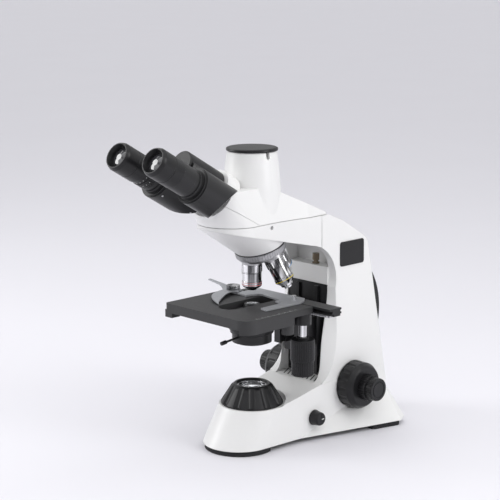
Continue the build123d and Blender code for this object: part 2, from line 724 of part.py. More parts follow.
# Drive bearing: the round housing under the stage top in which both drive shafts turn
bearing_radius = 11.0
bearing_hollow = 8.6
bearing_bottom = 165.0
bearing_floor = 168.6
tube_radius = 5.3
drive_shaft_radius = 2.8
x_rack_bottom = 178.0
x_rack_top = 180.5
drive_plane = Plane(origin=(drive_x, drive_y, 0), x_dir=(1, 0, 0), z_dir=(0, 0, 1))
with BuildPart() as drive_bearing:
    ring(drive_plane, bearing_radius, 0, bearing_bottom, plate_bottom)
    ring(drive_plane, bearing_hollow, 0, bearing_floor, plate_bottom - 0.4, mode=Mode.SUBTRACT)
    ring(drive_plane, tube_radius + running_fit, 0, bearing_bottom, bearing_floor, mode=Mode.SUBTRACT)
    with BuildSketch(Plane.XY.offset(stage_base_bottom - 0.5)):
        with Locations((drive_x - bearing_radius, drive_y)):
            Rectangle(10.6, 24)
    extrude(amount=stage_base_top + 1 - stage_base_bottom, mode=Mode.SUBTRACT)
    with BuildSketch(Plane.XY.offset(x_rack_bottom - 1)):
        with Locations((drive_x, drive_y + bearing_radius)):
            Rectangle(24, 11)
    extrude(amount=plate_bottom - x_rack_bottom + 2, mode=Mode.SUBTRACT)
save(drive_bearing, "drive_bearing")

# Stage drives: the upper knob turns the tube for fore-and-aft, the lower one the shaft for sideways
y_knob_radius = 16.0
y_knob_bottom = 116.3
y_knob_top = 145.0
x_knob_radius = 14.5
x_knob_bottom = 97.0
x_knob_top = y_knob_bottom - body_gap - 0.2
with BuildPart() as y_drive_tube:
    ring(drive_plane, tube_radius, drive_shaft_radius + running_fit, y_knob_bottom + 6, y_rack_bottom)
    toothed_wheel(drive_plane, gear_module, drive_teeth, y_rack_bottom, y_rack_top)
    ring(drive_plane, drive_shaft_radius + running_fit, 0, y_rack_bottom, y_rack_top, mode=Mode.SUBTRACT)
save(y_drive_tube, "y_drive_tube")

with BuildPart() as y_knob:
    ring(drive_plane, y_knob_radius - 0.6, 0, y_knob_bottom, y_knob_bottom + 1.5)
    ribbed_disc(drive_plane, y_knob_radius, 0.6, 36, y_knob_bottom + 1.5, y_knob_top - 1.5)
    ring(drive_plane, y_knob_radius - 0.6, 0, y_knob_top - 1.5, y_knob_top)
    ring(drive_plane, 8, 0, y_knob_top, y_knob_top + 3)
    ring(drive_plane, tube_radius, 0, y_knob_bottom + 6, y_knob_top + 3, mode=Mode.SUBTRACT)
    ring(drive_plane, drive_shaft_radius + running_fit, 0, y_knob_bottom, y_knob_bottom + 6,
        mode=Mode.SUBTRACT)
save(y_knob, "y_knob")

with BuildPart() as x_drive_shaft:
    ring(drive_plane, drive_shaft_radius, 0, x_knob_bottom + 5, x_rack_bottom - 0.2)
    toothed_wheel(drive_plane, gear_module, drive_teeth, x_rack_bottom - 0.2, x_rack_top + 0.3)
save(x_drive_shaft, "x_drive_shaft")

with BuildPart() as x_knob:
    ring(drive_plane, x_knob_radius - 0.8, 0, x_knob_bottom, x_knob_bottom + 1.5)
    ribbed_disc(drive_plane, x_knob_radius, 0.6, 32, x_knob_bottom + 1.5, x_knob_top)
    ring(drive_plane, drive_shaft_radius, 0, x_knob_bottom + 5, x_knob_top, mode=Mode.SUBTRACT)
save(x_knob, "x_knob")

# Slide holder: a bar on the stage's rear tongue, the fixed plate and the sprung finger
bar_left = -60.0
bar_right = 104.0
bar_front = plate_rear + body_gap
bar_back = 58.0
bar_bottom = 183.3
bar_top = 191.0
x_rack_front = 44.0
x_rack_back = 56.0
x_rack_pitch = drive_y + drive_pitch
with BuildPart() as x_bar:
    with BuildSketch(Plane.YZ.offset(bar_left)):
        with BuildLine():
            Polyline(
                (bar_front, tongue_high + body_gap), (bar_front, bar_top), (bar_back, bar_top),
                (bar_back, 189), (bar_back - 2, 188), (bar_back - 2, 186.5), (bar_back, 185.5),
                (bar_back, bar_bottom), (x_rack_back, bar_bottom), (x_rack_back, x_rack_top),
                (x_rack_front, x_rack_top), (x_rack_front, bar_bottom), (bar_front, bar_bottom),
                (bar_front, tongue_low - body_gap), (tongue_top_rear + body_gap, tongue_low - body_gap),
                (tongue_top_rear + body_gap, tongue_high + body_gap), close=True,
            )
        make_face()
    extrude(amount=bar_right - bar_left)
save(x_bar, "x_bar")

with BuildPart() as x_rack:
    with BuildSketch(Plane.XY.offset(x_rack_bottom)):
        with Locations(((bar_left + bar_right) / 2, (x_rack_pitch + root_depth + x_rack_back) / 2)):
            Rectangle(bar_right - bar_left - 14, x_rack_back - x_rack_pitch - root_depth * gear_module)
    extrude(amount=x_rack_top - x_rack_bottom)
    x_rack_face = Plane(origin=(drive_x, x_rack_pitch, x_rack_top), x_dir=(1, 0, 0), z_dir=(0, 0, -1))
    teeth_left = int((drive_x - bar_left - 9) / tooth_pitch)
    teeth_right = int((bar_right - drive_x - 9) / tooth_pitch)
    toothed_bar(x_rack_face, gear_module, -teeth_left * tooth_pitch, teeth_left + teeth_right + 1,
                x_rack_top - x_rack_bottom)
save(x_rack, "x_rack")

holder_top = bar_top + 2.4
finger_pivot = (-56.0, 20.0)
with BuildPart() as holder_plate:
    with BuildSketch(Plane.XY.offset(bar_top)):
        with BuildLine():
            Polyline(
                (-43, 54), (-42, 27), (-55, 26), (-55, 14), (-38, 13), (-23, 12), (-18, 28), (-11, 31),
                (20, 26),
                (25.5, 25), (27, 15.5), (40.5, 14), (41.5, -25), (53, -27), (55, 34),
                (50, 46), (43, 54), close=True,
            )
        make_face()
        with Locations(finger_pivot):
            Circle(8)
    extrude(amount=holder_top - bar_top)
save(holder_plate, "holder_plate")

finger_plane = Plane(origin=(*finger_pivot, 0), x_dir=(1, 0, 0), z_dir=(0, 0, 1))
finger_low = holder_top + 0.4
with BuildPart() as holder_screws:
    ring(finger_plane, 2.5, 0, holder_top, finger_low + 2.4)
    ribbed_disc(finger_plane, 9.2, 0.4, 40, finger_low + 2.4, finger_low + 6.8)
    with Locations((37, 40, holder_top)):
        Cylinder(3.2, 5, align=(Align.CENTER, Align.CENTER, Align.MIN))
save(holder_screws, "holder_screws")

# Finger: sprung sheet steel, bent down at its tip and up at its lever
with BuildPart() as clip_finger:
    with BuildSketch(Plane.XY.offset(stage_top_height)):
        with BuildLine():
            tip = Spline((-14, -46), (-30, -26), (-46, 8), tangents=[(-0.8, 0.6), (-0.2, 1)])
            ThreePointArc((-46, 8), (-44.5, 24), (-58, 28.5))
            Spline((-58, 28.5), (-78, 24), (-99, 19), tangents=[(-1, -0.2), (-1, -0.2)])
            Line((-99, 19), (-99, 14.5))
            Spline((-99, 14.5), (-78, 16), (-64, 9), tangents=[(1, 0.1), (0.8, -0.6)])
            Spline((-64, 9), (-52, -22), (-14, -46), tangents=[(0.2, -1), (1, -0.3)])
        make_face()
        with Locations(finger_pivot):
            Circle(2.5 + running_fit, mode=Mode.SUBTRACT)
    extrude(amount=20)
    with BuildSketch(Plane.XZ.offset(60)):
        with BuildLine():
            upper = Polyline((-110, 205), (-78, 198.5), (-66, finger_low + 1.4), (-40, finger_low + 1.4),
                (-8, 192.2))
            lower = Polyline((-8, 191), (-40.2, finger_low), (-65.8, finger_low), (-78.4, 197.1),
                (-110, 203.6))
            Line(upper @ 1, lower @ 0)
            Line(lower @ 1, upper @ 0)
        make_face()
    extrude(amount=-120, mode=Mode.INTERSECT)
save(clip_finger, "clip_finger")

# Condenser: mount ring with its tongue and rack, the body in it, the iris ring and the top lens
mount_outer = 30.0
mount_inner = 23.3
mount_bottom = 155.0
mount_top = 167.0
tongue_bottom = 140.0
tongue_top = 166.0
condenser_rack = 82.0 - condenser_pitch
with BuildPart() as condenser_mount:
    ring(Plane.XY, mount_outer, 0, mount_bottom, mount_top)
    with BuildSketch(Plane.XY.offset(mount_bottom)):
        with Locations((0, 48)):
            Rectangle(2 * (jaw_inner - body_gap - 1), 48)
    extrude(amount=mount_top - mount_bottom)
    ring(Plane.XY, mount_inner, 0, mount_bottom, mount_top, mode=Mode.SUBTRACT)
    with BuildSketch(Plane.XY.offset(tongue_bottom)):
        with Locations((0, (tongue_front + tongue_back) / 2)):
            Rectangle(2 * tongue_half, tongue_back - tongue_front)
    extrude(amount=tongue_top - tongue_bottom)
    rack_width = 6.0
    with BuildSketch(Plane.XY.offset(tongue_bottom)):
        with Locations((0, (tongue_back + condenser_rack - root_depth * condenser_module) / 2)):
            Rectangle(rack_width, condenser_rack - root_depth * condenser_module - tongue_back + 0.4)
    extrude(amount=tongue_top - tongue_bottom)
    condenser_rack_face = Plane(origin=(-rack_width / 2, condenser_rack, 150), x_dir=(0, 0, -1),
        z_dir=(1, 0, 0))
    condenser_tooth = pi * condenser_module
    rack_below = int((150 - tongue_bottom - 1.5) / condenser_tooth)
    rack_above = int((tongue_top - 150 - 1.5) / condenser_tooth)
    toothed_bar(condenser_rack_face, condenser_module, (0.5 - rack_above) * condenser_tooth,
                rack_above + rack_below, rack_width)
save(condenser_mount, "condenser_mount")

with BuildPart() as condenser_body:
    turn(Plane.XY, [
        (14, 136.5), (21, 136.5), (21, 138.2), (19.7, 138.2), (19.7, 150), (23, 150), (23, 172),
        (19, 176), (12.4, 181.5), (10, 188.5), (7.6, 188.5), (7.6, 186), (12, 150), (14, 148),
    ])
save(condenser_body, "condenser_body")

with BuildPart() as condenser_lens:
    turn(Plane.XY, [(0, 186), (7.5, 186), (7.5, 189.2), (4, 189.9), (0, 190)])
save(condenser_lens, "condenser_lens")

with BuildPart() as iris_lever:
    ring(Plane.XY, 26, 19.7 + running_fit, 138.4, 149.7)
    lever_plane = Plane(origin=(0, -25, 147.2), x_dir=(1, 0, 0), z_dir=(0, -1, -0.1))
    ring(lever_plane, 1.5, 0, -0.5, 22)
    ring(lever_plane, 2.6, 0, 22, 30)
save(iris_lever, "iris_lever")

with BuildPart() as condenser_knob:
    ring(condenser_knob_plane, condenser_shaft_radius, 0, -jaw_outer, 38)
    toothed_wheel(condenser_knob_plane, condenser_module, condenser_teeth, -3, 3)
    ribbed_disc(condenser_knob_plane, 10, 0.5, 24, 38, 49)
    ring(condenser_knob_plane, 9.2, 0, 49, 50)
save(condenser_knob, "condenser_knob")

# Nosepiece mount: the white boss under the beam that carries the turret
turret_plane = Plane(
    origin=(0, 0, objective_apex),
    x_dir=(1, 0, 0),
    z_dir=(0, sin(radians(turret_tilt)), -cos(radians(turret_tilt))),
)
turret_start = 40.3
turret_radius = 34.0
turret_pin = 7.0
light_bore = 6.5
boss_end = 40.0
underside_angle = atan2(underside_slope, 1)
underside_plane = Plane(
    origin=(0, underside_y, underside_height),
    x_dir=(1, 0, 0),
    z_dir=(0, -sin(underside_angle), -cos(underside_angle)),
)


def on_underside(x, y):
    """A point of the beam's underside in that plane's own coordinates."""
    return x, (underside_y - y) / cos(underside_angle)


with BuildPart() as nosepiece_mount:
    with BuildSketch(underside_plane):
        with BuildLine():
            Spline(
                on_underside(-36, pocket_front), on_underside(-40, -4), on_underside(-40, -44),
                on_underside(-26, -70), on_underside(0, -78.5), on_underside(26, -70),
                on_underside(40, -44), on_underside(40, -4), on_underside(36, pocket_front),
            )
            Line(on_underside(36, pocket_front), on_underside(-36, pocket_front))
        make_face()
    with BuildSketch(turret_plane.offset(boss_end)):
        Circle(turret_radius - 0.5)
    loft()
    ring(turret_plane, turret_pin, 0, boss_end - 1, boss_end + 7.5)
    ring(Plane.XY, light_bore, 0, 250, 285, mode=Mode.SUBTRACT)
save(nosepiece_mount, "nosepiece_mount")


def objective_plane(angle):
    """Plane on the optical apex whose normal runs down an objective at a turret angle."""
    tilt = radians(turret_tilt)
    front = turret_plane.y_dir * cos(radians(angle)) + turret_plane.x_dir * sin(radians(angle))
    side = turret_plane.x_dir * cos(radians(angle)) - turret_plane.y_dir * sin(radians(angle))
    return Plane(
        origin=turret_plane.origin,
        x_dir=side,
        z_dir=turret_plane.z_dir * cos(tilt) + front * sin(tilt),
    )


# Turret: knurled ring with four raised seats, each square to the axis of its objective
thread_radius = 10.1
thread_depth = 4.5
with BuildPart() as turret:
    ribbed_disc(turret_plane, turret_radius, 0.5, 60, turret_start + 1.5, 48.5)
    turn(turret_plane, [
        (0, turret_start), (turret_radius - 1, turret_start), (turret_radius - 1, 49.5), (31.5, 50.5),
        (31, 52.7), (20.5, 56.4), (0, 63.5),
    ])
    for k in range(4):
        ring(objective_plane(90 * k), 13.2, 0, shoulder_distance - 8, shoulder_distance)
    for k in range(4):
        ring(objective_plane(90 * k), light_bore, 0, 38, shoulder_distance, mode=Mode.SUBTRACT)
        ring(objective_plane(90 * k), thread_radius + running_fit, 0, shoulder_distance - thread_depth,
             shoulder_distance, mode=Mode.SUBTRACT)
    ring(turret_plane, turret_pin + running_fit, 0, turret_start - 1, boss_end + 8, mode=Mode.SUBTRACT)
save(turret, "turret")


def objective(name, angle, outline):
    """One objective: a turned barrel on its seat, with its thread in the turret and a lens at the tip."""
    base = objective_plane(angle).offset(shoulder_distance)
    length = outline[-1][1]
    with BuildPart() as barrel:
        turn(base, [(light_bore, 0)] + outline + [(3.0, length), (2.2, length - 4), (light_bore, 8)])
        ring(base, thread_radius, light_bore, -thread_depth + 0.2, 0)
        # Knurled grip of the barrel
        with BuildSketch(base.offset(3)) as knurl:
            with PolarLocations(13.35, 32):
                RegularPolygon(0.6, 4)
        extrude(knurl.sketch, amount=6, mode=Mode.SUBTRACT)
    save(barrel, name)
    return base, length


low_power = objective("objective_4x", 0, [
    (13, 0), (13, 10), (12.4, 10.5), (12.4, 22), (12.9, 22.5), (12.9, 28), (11.5, 30), (7, 32.5), (6, 34),
])
medium_power = objective("objective_10x", 90, [
    (13, 0), (13, 10), (12.4, 10.5), (12.4, 26), (12.9, 26.5), (12.9, 31), (8.5, 36), (8, 38.5),
    (5.5, 40), (5, 42),
])
high_power = objective("objective_40x", 180, [
    (13, 0), (13, 10), (12.4, 10.5), (12.4, 26), (12.9, 26.5), (12.9, 31), (8, 37), (7.5, 41),
    (5.5, 42.5), (5, 44.4),
])
oil_power = objective("objective_100x", 270, [
    (13, 0), (13, 10), (12.4, 10.5), (12.4, 26), (12.9, 26.5), (12.9, 31), (7, 38), (6.5, 41), (5, 42.5),
    (4, 44.4),
])

with BuildPart() as objective_lenses:
    for base, length in (low_power, medium_power, high_power, oil_power):
        turn(base, [(0, length - 3.9), (2.1, length - 3.9), (2.6, length - 0.6), (0, length - 0.3)])
save(objective_lenses, "objective_lenses")

# Head: a lofted white housing with the photo tube, its chin a separate cover
head_bottom = deck_height + seam_gap
head_loft_height = 45.0
neck_radius = 20.0
tube_bore = 27.5
tube_bore_depth = 20.0
front_ahead = 74.0
barrel_radius = 11.7
chin_below = 26.0
prism_half = 13.0
roof_ridge = 337.0
with BuildPart() as head_form:
    with BuildSketch(Plane.XY.offset(head_bottom)):
        add(plan_outline(beam_nose, beam_radius, 40.4, head_rear - 2, 43))
        make_face()
    with BuildSketch(Plane.XY.offset(head_bottom + head_loft_height)):
        add(plan_outline(beam_nose - 22, beam_radius - 9, 31, head_rear - 2, 33))
        make_face()
    loft(ruled=True)
    face_low = across(0, 41, front_ahead).origin
    face_high = across(0, -13, front_ahead).origin
    with BuildSketch(Plane.YZ):
        with BuildLine():
            Polyline(
                (head_rear, head_bottom), (head_rear, head_bottom + 2), (17, roof_ridge),
                (face_high.Y, face_high.Z), (face_low.Y, face_low.Z), (beam_nose - 12, head_bottom + 10),
                (beam_nose - 12, head_bottom), close=True,
            )
        make_face()
    extrude(amount=60, both=True, mode=Mode.INTERSECT)

chin_plane = across(0, chin_below, 0)
chin_cut = Plane(origin=chin_plane.origin, x_dir=(1, 0, 0), z_dir=chin_plane.y_dir)
with BuildPart() as head_housing:
    add(head_form.part)
    # Photo tube, standing on the roof
    turn(Plane.XY, [(0, 302), (38.5, 302), (37, 341), (35, 365), (32, tube_top - 1), (31.2, tube_top),
        (0, tube_top)])
    split(bisect_by=chin_cut, keep=Keep.TOP)
    # Collar for the eyepiece pivot
    ring(across(0, 0, 0), 20.5, 0, 50, front_ahead)
    # Dovetail below, seated in the beam
    ring(Plane.XY, neck_radius, 0, seat_floor + body_gap, head_bottom + 0.5)
    turn(Plane.XY, [
        (0, seat_floor + body_gap), (dovetail_radius - 1, seat_floor + body_gap),
        (dovetail_radius, seat_floor + body_gap + 1), (dovetail_radius, seat_floor + body_gap + 2.2),
        (neck_radius, seat_floor + body_gap + 4), (0, seat_floor + body_gap + 4),
    ])
    # Bore of the photo port, the prism chamber and the light path
    ring(Plane.XY, tube_bore, 0, tube_top - tube_bore_depth, tube_top, mode=Mode.SUBTRACT)
    ring(Plane.XY, 17, 0, 328, tube_top, mode=Mode.SUBTRACT)
    with BuildSketch(Plane.XY.offset(head_bottom + 0.4)):
        Rectangle(2 * prism_half + 2, 2 * prism_half + 2)
    extrude(amount=29, mode=Mode.SUBTRACT)
    ring(Plane.XY, light_path_radius, 0, seat_floor, head_bottom + 1, mode=Mode.SUBTRACT)
    # Keyway for a camera's locating pin
    with BuildSketch(Plane.YZ.offset(tube_bore - 2)):
        with Locations((-3.5, tube_top)):
            SlotOverall(18, 5, rotation=90)
    extrude(amount=10, mode=Mode.SUBTRACT)
    ring(across(0, 0, 0), barrel_radius, 0, front_ahead - 22, front_ahead + 1, mode=Mode.SUBTRACT)
save(head_housing, "head_housing")

with BuildPart() as head_chin:
    add(head_form.part)
    split(bisect_by=chin_cut.offset(-body_gap), keep=Keep.BOTTOM)
save(head_chin, "head_chin")

# Beam splitter: the glass cube in the head that sends light to the eyepieces and the port
with BuildPart() as beam_splitter:
    with BuildSketch(Plane.XY.offset(head_bottom + 0.4)):
        Rectangle(2 * prism_half, 2 * prism_half)
    extrude(amount=2 * prism_half)
    chamfer(beam_splitter.edges().filter_by(Axis.Z), 0.5)
save(beam_splitter, "beam_splitter")

# Port cap: a push-in plastic cap over the photo tube
with BuildPart() as port_cap:
    turn(Plane.XY, [
        (0, tube_top + body_gap), (33, tube_top + body_gap), (33.4, tube_top + 1.5), (33, tube_top + 3.4),
        (31, tube_top + 4.3), (0, tube_top + 4.9),
    ])
    ring(Plane.XY, tube_bore - body_gap, tube_bore - 3, tube_top - 9, tube_top + 1)
save(port_cap, "port_cap")

# Pivot: the steel barrel on which both prism housings swing
right_hub = (96.3, 136.7)
left_hub = (77.0, 96.0)
hub_radius = 16.6
housing_radius = 24.0
housing_start = 74.6
housing_end = 138.5
mitre_ahead = 80.25
pivot_front = 140.0
with BuildPart() as pivot_barrel:
    ring(across(0, 0, 0), barrel_radius, 0, front_ahead - 21, pivot_front - 3)
    ring(across(0, 0, 0), hub_radius, 0, pivot_front - 3, pivot_front - 1)
    turn(across(0, 0, 0), [(0, pivot_front - 1.2), (hub_radius, pivot_front - 1.2), (15, pivot_front),
        (0, pivot_front)])
save(pivot_barrel, "pivot_barrel")


def prism_housing(side, hub, name):
    """Prism housing of one eyepiece: a mitred cylinder joined to its own hub on the pivot."""
    offset = side * eye_distance / 2
    pivot = across(0, 0, 0)
    axis = across(offset, eyepiece_drop, 0)
    reach = sqrt(offset ** 2 + eyepiece_drop ** 2)
    outward = pivot.x_dir * (offset / reach) - pivot.y_dir * (eyepiece_drop / reach)
    with BuildPart() as housing:
        ring(axis, housing_radius, 0, housing_start, housing_end)
        # Web to the hub
        web = Plane(origin=pivot.origin, x_dir=outward, z_dir=pivot.z_dir)
        with BuildSketch(web.offset(hub[0])) as arm:
            with Locations((reach / 2, 0)):
                Rectangle(reach, 27)
            Circle(hub_radius)
        extrude(arm.sketch, amount=hub[1] - hub[0])
        # Mitre across the lower rear corner, where the prism's cover plate lies
        mitre_origin = axis.origin + axis.z_dir * mitre_ahead
        split(bisect_by=Plane(origin=mitre_origin, z_dir=axis.z_dir - outward), keep=Keep.TOP)
        ring(pivot, barrel_radius + running_fit, 0, housing_start - 1, pivot_front, mode=Mode.SUBTRACT)
        # The other hub's room round the pivot
        for start, end in ((housing_start - 1, hub[0]), (hub[1], pivot_front + 1)):
            ring(pivot, hub_radius + body_gap, 0, start, end, mode=Mode.SUBTRACT)
        # Stepped collars towards the eyepiece, and the bore for it
        ring(axis, 22.5, 0, housing_end, 141)
        ring(axis, 19.5, 0, 141, 146)
        ring(axis, 18.2, 0, 146, 152.9)
        if side > 0:
            ring(axis, 18.3, 0, 152.9, eyepiece_seat)
        else:
            ring(axis, 15.5, 0, 152.9, eyepiece_seat)
        ring(axis, eyepiece_bore + 0.05, 0, housing_end, eyepiece_seat, mode=Mode.SUBTRACT)
    save(housing, name)


eyepiece_seat = 172.8
eyepiece_bore = 11.6
eyepiece_end = 210.85
prism_housing(1, right_hub, "prism_housing_right")
prism_housing(-1, left_hub, "prism_housing_left")

# Dioptre ring: turns on the left tube to match the eyes
left_axis = across(-eye_distance / 2, eyepiece_drop, 0)
with BuildPart() as diopter_ring:
    ribbed_disc(left_axis, 18.3, 0.5, 36, 153.2, 164)
    ring(left_axis, 17.6, 0, 164, eyepiece_seat - body_gap)
    ring(left_axis, 15.5 + body_gap, 0, 153, eyepiece_seat, mode=Mode.SUBTRACT)
save(diopter_ring, "diopter_ring")


def eyepiece(side, name, lens_name):
    """Wide-field eyepiece: a barrel in the tube, a stepped head and a recessed eye lens."""
    axis = across(side * eye_distance / 2, eyepiece_drop, 0)
    seat = eyepiece_seat + 0.2
    with BuildPart() as body:
        turn(axis, [
            (10, 145), (eyepiece_bore, 145), (eyepiece_bore, seat), (18.5, seat), (18.5, 188),
            (18.1, 188.4),
            (18.1, 189.2), (18.5, 189.6), (18.5, 206), (17.6, 208.5), (16.4, eyepiece_end),
            (15.2, eyepiece_end),
            (13.2, 206.5), (12.6, 203), (10, 203),
        ])
    save(body, name)
    with BuildPart() as lens:
        turn(axis, [(0, 199), (10, 199), (10, 203), (12.5, 203), (12.5, 203.4), (9, 205.2), (4, 206.2),
            (0, 206.4)])
    save(lens, lens_name)


eyepiece(1, "eyepiece_right", "eye_lens_right")
eyepiece(-1, "eyepiece_left", "eye_lens_left")
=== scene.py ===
import math

import bmesh
import bpy
from mathutils import Matrix, Vector


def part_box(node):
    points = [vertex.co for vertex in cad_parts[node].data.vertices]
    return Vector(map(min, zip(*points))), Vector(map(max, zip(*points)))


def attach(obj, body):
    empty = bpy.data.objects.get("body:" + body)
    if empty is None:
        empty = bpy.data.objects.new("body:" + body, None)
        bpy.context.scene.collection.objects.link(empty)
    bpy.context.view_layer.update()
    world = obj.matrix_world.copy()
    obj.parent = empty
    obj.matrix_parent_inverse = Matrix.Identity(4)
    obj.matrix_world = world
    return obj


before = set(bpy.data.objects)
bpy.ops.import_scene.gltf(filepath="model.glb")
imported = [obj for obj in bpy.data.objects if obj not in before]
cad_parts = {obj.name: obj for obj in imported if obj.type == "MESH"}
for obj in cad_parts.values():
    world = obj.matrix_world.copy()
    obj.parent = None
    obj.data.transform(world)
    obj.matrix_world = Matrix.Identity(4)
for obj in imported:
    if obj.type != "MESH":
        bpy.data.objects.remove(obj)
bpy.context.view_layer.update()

# Camera: a long lens a little above the stage, turned half way between the front and the
# right side of the microscope, as a catalogue picture is taken.
sensor_width = 36
focal_length = 107.06
camera_bearing = math.radians(45.5)
camera_pitch = math.radians(11.4)
camera_reach = 1.880
camera_height = 0.638
camera_shift = 0.00253

lens_data = bpy.data.cameras.new("camera")
lens_data.sensor_width = sensor_width
lens_data.lens = focal_length
camera = bpy.data.objects.new("camera", lens_data)
bpy.context.scene.collection.objects.link(camera)
towards_camera = Vector((math.sin(camera_bearing), -math.cos(camera_bearing), 0))
camera_right = Vector((-towards_camera.y, towards_camera.x, 0))
camera_back = towards_camera * math.cos(camera_pitch) + Vector((0, 0, math.sin(camera_pitch)))
camera_up = camera_back.cross(camera_right)
camera_place = towards_camera * camera_reach - camera_right * camera_shift + Vector((0, 0, camera_height))
camera.matrix_world = Matrix.LocRotScale(
    camera_place, Matrix((camera_right, camera_up, camera_back)).transposed(), None
)
bpy.context.scene.camera = camera

# Stand: one aluminium casting with the foot, the arm and the beam over the stage. It is ground
# smooth and baked with white enamel, which keeps a faint skin of its own over the whole casting.


class Wire:
    """A node's output in a finish, which can be used in sums."""

    def __init__(self, finish, socket):
        self.finish = finish
        self.socket = socket

    def math(self, operation, first, second):
        return self.finish.node("Math", {"operation": operation}, {0: first, 1: second})

    def __add__(self, other):
        return self.math("ADD", self, other)

    def __mul__(self, other):
        return self.math("MULTIPLY", self, other)

    __radd__ = __add__
    __rmul__ = __mul__


class Finish:
    """A material for one finish of the microscope, put together node by node."""

    def __init__(self, name, colour, **fixed):
        self.material = bpy.data.materials.new(name)
        self.material.use_nodes = True
        self.shader = self.material.node_tree.nodes["Principled BSDF"]
        self.colour = (*colour, 1)
        self.join(self.colour, self.shader.inputs["Base Color"])
        for socket, value in fixed.items():
            self.join(value, self.shader.inputs[socket.replace("_", " ")])
        self.place = self.node("TexCoord", output="Object")

    def join(self, value, socket):
        if isinstance(value, Wire):
            self.material.node_tree.links.new(value.socket, socket)
        else:
            socket.default_value = value

    def node(self, kind, settings=None, sockets=None, output=0):
        made = self.material.node_tree.nodes.new("ShaderNode" + kind)
        for name, value in (settings or {}).items():
            if name == "stops":
                for stop, (position, colour) in zip(made.color_ramp.elements, value):
                    stop.position = position
                    stop.color = colour
            else:
                setattr(made, name, value)
        for name, value in (sockets or {}).items():
            self.join(value, made.inputs[name])
        return Wire(self, made.outputs[output])

    def noise(self, size, detail=2.0, stretch=(1, 1, 1)):
        """Even noise from 0 to 1 with features of about this size in metres."""
        spot = self.node("VectorMath", {"operation": "MULTIPLY"}, {0: self.place, 1: stretch}, "Vector")
        return self.node("TexNoise", None, {"Vector": spot, "Scale": 1 / size, "Detail": detail})

    def between(self, share, first, second):
        """A colour that goes from the first to the second as the share goes from 0 to 1."""
        return self.node("Mix", {"data_type": "RGBA"}, {0: share, 6: first, 7: second}, 2)

    def tinted(self, share, by):
        """Base colour that varies about its own value by a few percent."""
        darker = tuple(part * (1 - by) for part in self.colour[:3]) + (1,)
        lighter = tuple(min(1, part * (1 + by)) for part in self.colour[:3]) + (1,)
        self.join(self.between(share, darker, lighter), self.shader.inputs["Base Color"])

    def rough(self, value):
        self.join(value, self.shader.inputs["Roughness"])

    def relief(self, height, depth, edge=0.0):
        """Bumps of this depth in metres, over edges softened to a radius."""
        over = {"Height": height, "Distance": depth}
        if edge:
            over["Normal"] = self.node("Bevel", {"samples": 6}, {"Radius": edge})
        self.join(self.node("Bump", None, over), self.shader.inputs["Normal"])


def coat(finish, *nodes):
    """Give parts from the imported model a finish."""
    for node in nodes:
        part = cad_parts[node]
        if not part.material_slots:
            part.data.materials.append(finish.material)
        for held in part.material_slots:
            held.material = finish.material


enamel = Finish("white_enamel", (0.80, 0.80, 0.79), Coat_Weight=0.25, Coat_Roughness=0.22)
enamel.tinted(enamel.noise(0.060), 0.012)
enamel.rough(0.34 + enamel.noise(0.012) * 0.10)
enamel.relief(enamel.noise(0.0011, 3) + enamel.noise(0.009) * 2.0, 0.000025, edge=0.0012)
coat(enamel, "stand", "nosepiece_mount", "head_housing", "head_chin")

# Foot: a pressed steel plate closes the casting from below, held by screws, and the microscope
# stands on a front pad and two rear pads of matt black rubber.
sheet = Finish("black_sheet", (0.022, 0.022, 0.023), Specular_IOR_Level=0.4)
sheet.tinted(sheet.noise(0.004), 0.15)
sheet.rough(0.5 + sheet.noise(0.002) * 0.12)
sheet.relief(sheet.noise(0.0008, 3), 0.00004, edge=0.0004)
coat(sheet, "base_plate")

rubber = Finish("rubber", (0.020, 0.020, 0.022), Specular_IOR_Level=0.3)
rubber.tinted(rubber.noise(0.003), 0.25)
rubber.rough(0.62 + rubber.noise(0.002, 4) * 0.2)
rubber.relief(rubber.noise(0.0006, 4), 0.00006, edge=0.0006)
coat(rubber, "feet")

turned_steel = Finish("steel", (0.56, 0.56, 0.57), Metallic=1.0)
turned_steel.tinted(turned_steel.noise(0.003), 0.06)
turned_steel.rough(0.22 + turned_steel.noise(0.0009, 4) * 0.16)
turned_steel.relief(turned_steel.noise(0.0005, 4), 0.00001, edge=0.0002)
coat(turned_steel, "base_screws", "head_lock_screw", "coarse_sleeve")
coat(turned_steel, "fine_shaft", "focus_rack", "x_drive_shaft", "x_rack")

# Nameplate, rear grip and mains inlet: moulded in black plastic. The nameplate is bare and lies
# in its recess on the arm's side, the grip crosses the back of the arm for carrying.
plastic = Finish("black_plastic", (0.011, 0.011, 0.012), Specular_IOR_Level=0.32)
plastic.tinted(plastic.noise(0.005), 0.12)
plastic.rough(0.28 + plastic.noise(0.0015, 3) * 0.10)
plastic.relief(plastic.noise(0.00035, 3), 0.00002, edge=0.0005)
coat(plastic, "nameplate", "rear_grip", "power_inlet", "tension_ring", "brightness_knob")
coat(plastic, "coarse_knob_right", "coarse_knob_left", "fine_knob_right", "fine_knob_left")
coat(plastic, "y_knob", "x_knob", "condenser_knob", "port_cap", "field_ring")

# Guide panel and stage carriage: machined aluminium in satin black enamel. The panel closes the
# channel of the arm and carries the ground rails on which the carriage slides.
black_enamel = Finish("black_enamel", (0.013, 0.013, 0.014), Specular_IOR_Level=0.38)
black_enamel.tinted(black_enamel.noise(0.010), 0.10)
black_enamel.rough(0.32 + black_enamel.noise(0.004) * 0.10)
black_enamel.relief(black_enamel.noise(0.0006, 3), 0.00003, edge=0.0006)
coat(black_enamel, "slide_rails", "guide_panel", "stage_carriage", "stage_base", "drive_bearing", "x_bar")
coat(black_enamel, "condenser_mount", "condenser_body", "iris_lever", "pivot_barrel")
coat(black_enamel, "prism_housing_right", "prism_housing_left")

